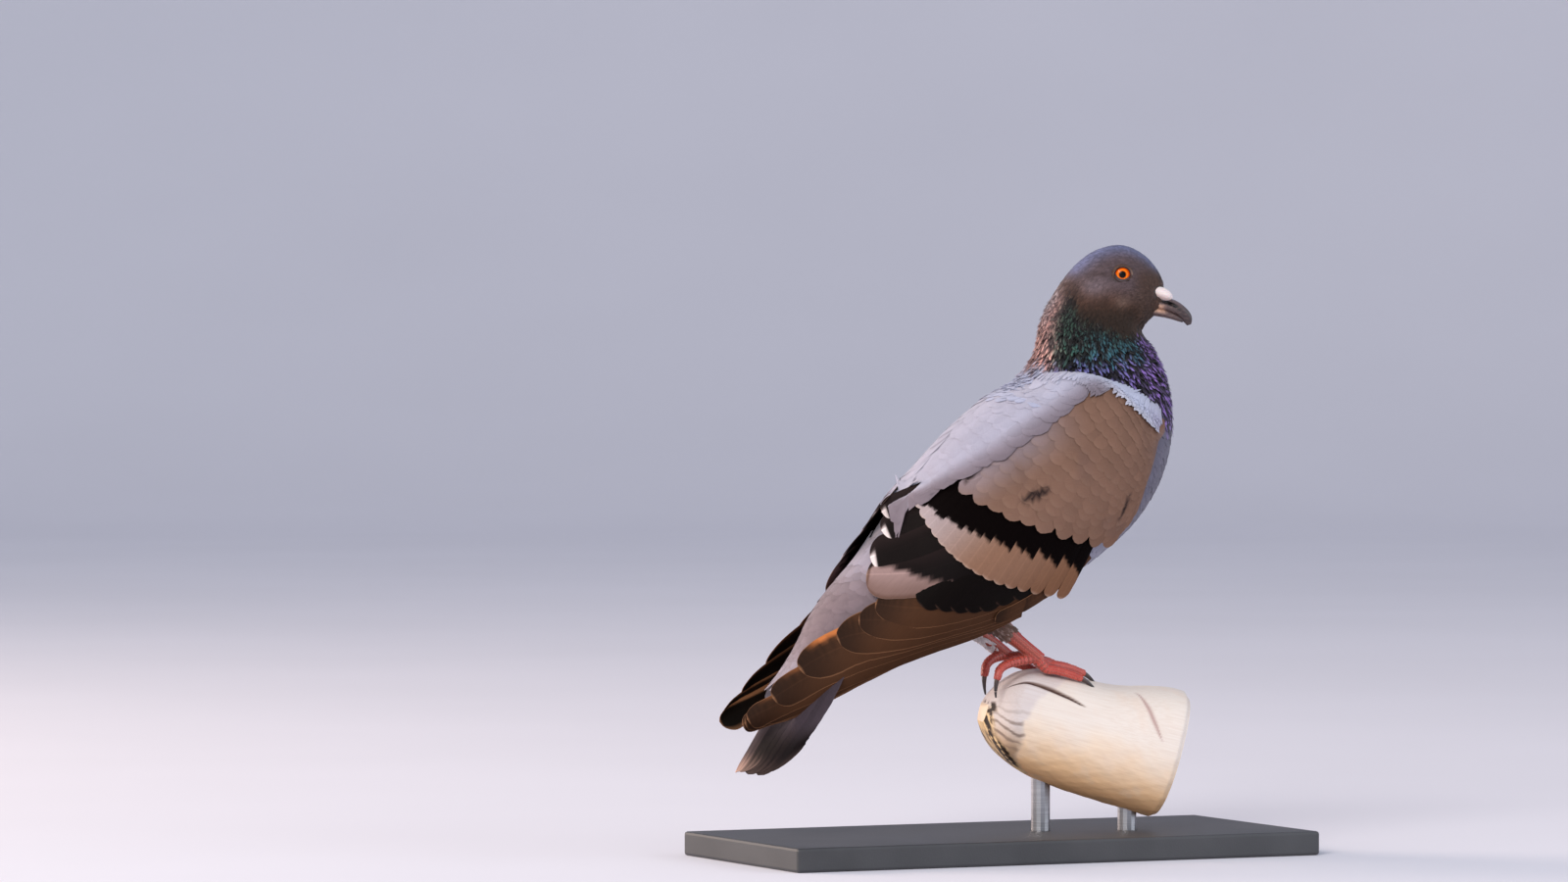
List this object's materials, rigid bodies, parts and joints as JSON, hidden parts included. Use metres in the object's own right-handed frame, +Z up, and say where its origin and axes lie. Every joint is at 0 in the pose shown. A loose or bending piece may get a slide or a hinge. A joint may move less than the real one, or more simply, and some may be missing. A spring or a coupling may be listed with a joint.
{
  "type": "rock pigeon",
  "caption": "Life-size standing pigeon with folded barred wings and turned head, gripping a short peeled branch held on a flat display stand",
  "frame": {"origin": "centre of the underside of the stand's base", "axes": "+Z up; +X the way the bird's body heads; +Y the bird's left"},
  "size_m": [0.2449, 0.112, 0.2537],
  "materials": {
    "head_feathers": "soft short feathers",
    "neck_feathers": "glossy green and violet hackles",
    "body_feathers": "soft pale grey feathers",
    "wing_coverts": "smooth pale feathers with two dark bars",
    "flight_feathers": "firm brown quill feathers",
    "tail_feathers": "slate feathers with a dark end band",
    "eye": "wet gloss over an orange iris",
    "bill_horn": "satin horn",
    "cere": "powdery white skin",
    "leg_skin": "scaled red skin",
    "claw_horn": "dark horn",
    "perch_wood": "bare, peeled and weathered",
    "stand_paint": "satin charcoal paint",
    "stand_steel": "plain drawn bar"
  },
  "bodies": {
    "root": {"head": "head_feathers", "neck": "neck_feathers", "trunk": "body_feathers", "rump": "body_feathers", "thigh_right": "body_feathers", "thigh_left": "body_feathers", "wing_right": "wing_coverts", "wing_left": "wing_coverts", "wing_right_tip": "flight_feathers", "wing_left_tip": "flight_feathers", "tail": "tail_feathers", "eye_right": "eye", "eye_left": "eye", "bill_upper": "bill_horn", "bill_lower": "bill_horn", "cere": "cere", "leg_right": "leg_skin", "leg_left": "leg_skin", "perch": "perch_wood", "stand_base": "stand_paint", "stand_rod_back": "stand_steel", "stand_rod_front": "stand_steel", "toe_right_middle": "leg_skin", "claw_right_middle": "claw_horn", "toe_right_outer": "leg_skin", "claw_right_outer": "claw_horn", "toe_right_inner": "leg_skin", "claw_right_inner": "claw_horn", "toe_right_hind": "leg_skin", "claw_right_hind": "claw_horn", "toe_left_middle": "leg_skin", "claw_left_middle": "claw_horn", "toe_left_outer": "leg_skin", "claw_left_outer": "claw_horn", "toe_left_inner": "leg_skin", "claw_left_inner": "claw_horn", "toe_left_hind": "leg_skin", "claw_left_hind": "claw_horn"}
  },
  "joints": []
}
